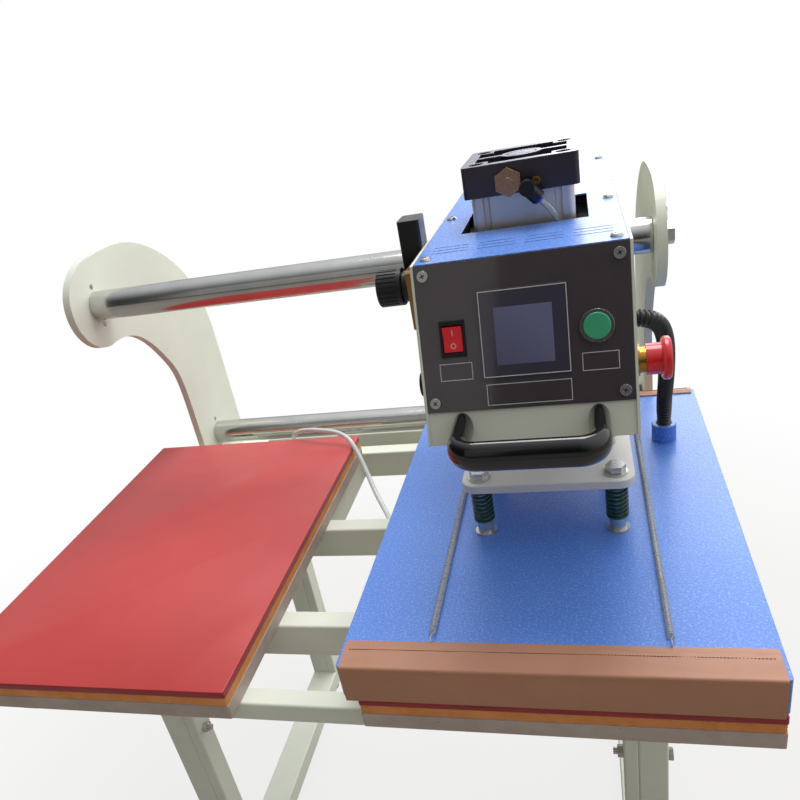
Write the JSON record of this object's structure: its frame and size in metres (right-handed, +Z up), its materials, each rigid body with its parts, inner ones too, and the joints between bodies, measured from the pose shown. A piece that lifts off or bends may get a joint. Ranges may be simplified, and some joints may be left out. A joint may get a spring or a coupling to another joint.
{
  "type": "dual station heat press",
  "caption": "Free-standing pneumatic heat press whose heated platen slides sideways on guide shafts between two padded tables",
  "frame": {"origin": "on the floor under the middle of the machine's outline", "axes": "+X to the machine's right, towards the station where the head stands; +Y to its back; +Z up"},
  "size_m": [0.954, 0.82, 1.282],
  "materials": {
    "frame_paint": "satin powder coat",
    "head_paint": "satin powder coat",
    "cover_paint": "fine textured powder coat",
    "blue_paint": "orange-peel powder coat",
    "green_paint": "gloss paint",
    "black_rubber": "matte",
    "hard_chrome": "polished",
    "zinc_steel": "bright zinc",
    "cast_aluminium": "raw casting",
    "anodised": "clear anodised",
    "black_anodised": "black anodised",
    "bronze": "machined",
    "gold_metal": "satin",
    "orange_sponge": "closed-cell sponge",
    "red_silicone": "matte sheet",
    "panel_gloss": "gloss",
    "screen_gloss": "gloss",
    "black_plastic": "satin",
    "red_plastic": "gloss",
    "green_plastic": "gloss",
    "board_green": "lacquered board",
    "insulation": "packed fibre",
    "ptfe_cloth": "coated glass cloth",
    "clear_hose": "translucent"
  },
  "bodies": {
    "frame": {"front_rail": "frame_paint", "cross_rails": "frame_paint", "table_tubes": "frame_paint", "side_beams": "frame_paint", "back_rail": "frame_paint", "front_legs": "frame_paint", "rear_legs": "frame_paint", "floor_beams": "frame_paint", "rubber_feet": "black_rubber", "left_side_plate": "frame_paint", "right_side_plate": "frame_paint", "upper_shaft": "hard_chrome", "lower_shaft": "hard_chrome", "frame_bolts": "zinc_steel", "table_plates": "cast_aluminium", "sponge_layers": "orange_sponge", "silicone_pads": "red_silicone", "hose_mounts": "zinc_steel", "air_hose": "clear_hose"},
    "carriage": {"carriage_plate": "frame_paint", "bearing_housing": "frame_paint", "bushes": "bronze", "guide_tube": "frame_paint", "stop_buffers": "black_rubber", "rear_arm": "frame_paint", "head_shell": "head_paint", "head_cover": "cover_paint", "control_panel": "panel_gloss", "front_handle": "black_plastic", "cylinder_barrel": "anodised", "cylinder_caps": "black_anodised", "cylinder_fittings": "black_plastic", "head_fasteners": "zinc_steel", "touch_screen": "screen_gloss", "switch_bezel": "black_plastic", "button_ring": "hard_chrome", "estop_collar": "gold_metal", "regulator_body": "black_plastic", "air_valve": "gold_metal", "buzzer": "black_plastic", "control_board": "board_green", "heater_conduit": "black_rubber", "hose_port": "zinc_steel", "cylinder_hose": "clear_hose"},
    "press_head": {"piston": "hard_chrome", "guide_rods": "hard_chrome", "press_plate": "frame_paint", "die_springs": "green_paint"},
    "platen": {"spring_bolts": "zinc_steel", "platen_cover": "blue_paint", "heater_plate": "cast_aluminium", "insulation_board": "insulation", "teflon_sheet": "ptfe_cloth", "stretch_springs": "zinc_steel", "conduit_gland": "blue_paint"},
    "power_rocker": {"power_rocker": "red_plastic"},
    "start_button": {"start_button": "green_plastic"},
    "estop_plunger": {"estop_plunger": "black_plastic"},
    "estop_mushroom": {"estop_mushroom": "red_plastic"},
    "regulator_knob": {"regulator_knob": "black_plastic"}
  },
  "joints": [
    {"name": "head_slide", "type": "slide", "parent": "frame", "child": "carriage", "axis": [1, 0, 0], "range_m": [-0.54, 0], "deforming": ["air_hose"]},
    {"name": "press_stroke", "type": "slide", "parent": "carriage", "child": "press_head", "axis": [0, 0, 1], "range_m": [0, 0.1], "deforming": ["heater_conduit"]},
    {"name": "platen_float", "type": "slide", "parent": "press_head", "child": "platen", "axis": [0, 0, 1], "range_m": [0, 0.004], "stiffness_N_per_m": 60000, "springref_m": -0.004, "deforming": ["die_springs"]},
    {"name": "power_switch", "type": "hinge", "parent": "carriage", "child": "power_rocker", "pos_m": [0.2078, -0.28639, 1.15559], "axis": [-1, 0, 0], "range_deg": [0, 14]},
    {"name": "start_push", "type": "slide", "parent": "carriage", "child": "start_button", "axis": [0, 0.9686, -0.2487], "range_m": [0, 0.003], "stiffness_N_per_m": 300, "springref_m": -0.003},
    {"name": "estop_push", "type": "slide", "parent": "carriage", "child": "estop_plunger", "axis": [-1, 0, 0], "range_m": [0, 0.005], "stiffness_N_per_m": 1000, "springref_m": -0.004},
    {"name": "estop_twist", "type": "hinge", "parent": "estop_plunger", "child": "estop_mushroom", "pos_m": [0.388, -0.25, 1.105], "axis": [1, 0, 0], "range_deg": [0, 30], "stiffness_Nm_per_rad": 0.05, "springref_deg": -5.73},
    {"name": "regulator_turn", "type": "hinge", "parent": "carriage", "child": "regulator_knob", "pos_m": [0.145, -0.224, 1.192], "axis": [1, 0, 0], "range_deg": [-720, 720]}
  ]
}
